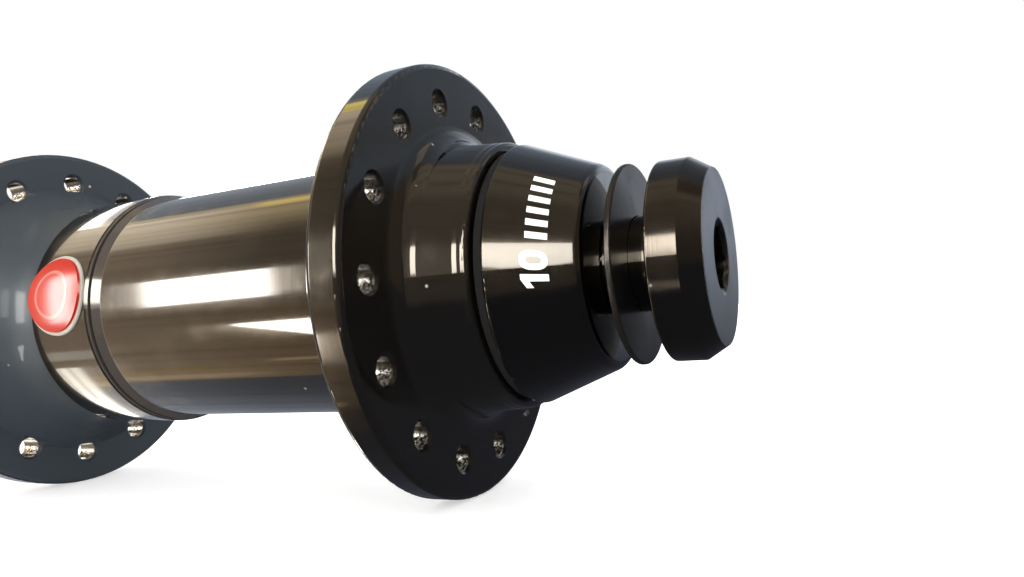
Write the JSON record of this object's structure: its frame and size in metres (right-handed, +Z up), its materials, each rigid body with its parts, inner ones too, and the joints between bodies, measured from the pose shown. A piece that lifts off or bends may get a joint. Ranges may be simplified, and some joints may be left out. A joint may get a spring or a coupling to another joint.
{
  "type": "bicycle front hub assembly",
  "caption": "Bolt-on bicycle front hub: one-piece flanged shell turning on cartridge bearings round a hollow axle, with conical end caps, captive washers and socket-head axle bolts.",
  "frame": {"origin": "middle of the hub on the wheel axis, halfway between the two dropout faces", "axes": "+Y along the wheel axis towards the end opposite the badge, +Z up, +X towards the badge's side"},
  "size_m": [0.0464, 0.1208, 0.0464],
  "materials": {
    "black_shell": "polished black anodised",
    "black_cap": "polished black anodised, size number printed in white",
    "black_bolt": "turned and blackened",
    "black_washer": "blackened, matt outer face",
    "axle_alloy": "turned",
    "bearing_steel": "ground",
    "ball_steel": "polished",
    "cage_polymer": "moulded",
    "seal_rubber": "moulded",
    "dust_rubber": "moulded",
    "badge_rim": "gloss",
    "badge_red": "domed gloss"
  },
  "bodies": {
    "axle_assembly": {"axle": "axle_alloy", "right_inner_race": "bearing_steel", "right_end_cap": "black_cap", "right_cap_ring": "seal_rubber", "right_dust_seal": "dust_rubber", "left_inner_race": "bearing_steel", "left_end_cap": "black_cap", "left_cap_ring": "seal_rubber", "left_dust_seal": "dust_rubber"},
    "hub_body": {"hub_shell": "black_shell", "badge_base": "badge_rim", "badge_dome": "badge_red", "right_outer_race": "bearing_steel", "right_bearing_seal_inboard": "seal_rubber", "right_bearing_seal_outboard": "seal_rubber", "left_outer_race": "bearing_steel", "left_bearing_seal_inboard": "seal_rubber", "left_bearing_seal_outboard": "seal_rubber"},
    "right_ball_set": {"right_balls": "ball_steel", "right_cage": "cage_polymer"},
    "right_washer_body": {"right_washer": "black_washer"},
    "right_bolt_body": {"right_bolt": "black_bolt"},
    "left_ball_set": {"left_balls": "ball_steel", "left_cage": "cage_polymer"},
    "left_washer_body": {"left_washer": "black_washer"},
    "left_bolt_body": {"left_bolt": "black_bolt"}
  },
  "joints": [
    {"name": "hub_spin", "type": "hinge", "parent": "axle_assembly", "child": "hub_body", "pos_m": [0, 0, 0], "axis": [0, 1, 0], "continuous": true},
    {"name": "right_ball_orbit", "type": "hinge", "parent": "axle_assembly", "child": "right_ball_set", "pos_m": [0, 0.0371, 0], "axis": [0, 1, 0], "continuous": true},
    {"name": "right_bolt_travel", "type": "slide", "parent": "axle_assembly", "child": "right_washer_body", "axis": [0, 1, 0], "range_m": [-0.0019, 0.005]},
    {"name": "right_bolt_turn", "type": "hinge", "parent": "right_washer_body", "child": "right_bolt_body", "pos_m": [0, 0.055, 0], "axis": [0, 1, 0], "range_deg": [-548, 1441]},
    {"name": "left_ball_orbit", "type": "hinge", "parent": "axle_assembly", "child": "left_ball_set", "pos_m": [0, -0.0371, 0], "axis": [0, 1, 0], "continuous": true},
    {"name": "left_bolt_travel", "type": "slide", "parent": "axle_assembly", "child": "left_washer_body", "axis": [0, -1, 0], "range_m": [-0.0019, 0.005]},
    {"name": "left_bolt_turn", "type": "hinge", "parent": "left_washer_body", "child": "left_bolt_body", "pos_m": [0, -0.055, 0], "axis": [0, -1, 0], "range_deg": [-548, 1441]}
  ],
  "couplings": [
    {"joint": "right_ball_orbit", "follows": "hub_spin", "ratio": 0.561},
    {"joint": "right_bolt_turn", "follows": "right_bolt_travel", "rad_per_m": 5026.5},
    {"joint": "left_ball_orbit", "follows": "hub_spin", "ratio": 0.561},
    {"joint": "left_bolt_turn", "follows": "left_bolt_travel", "rad_per_m": 5026.5}
  ]
}
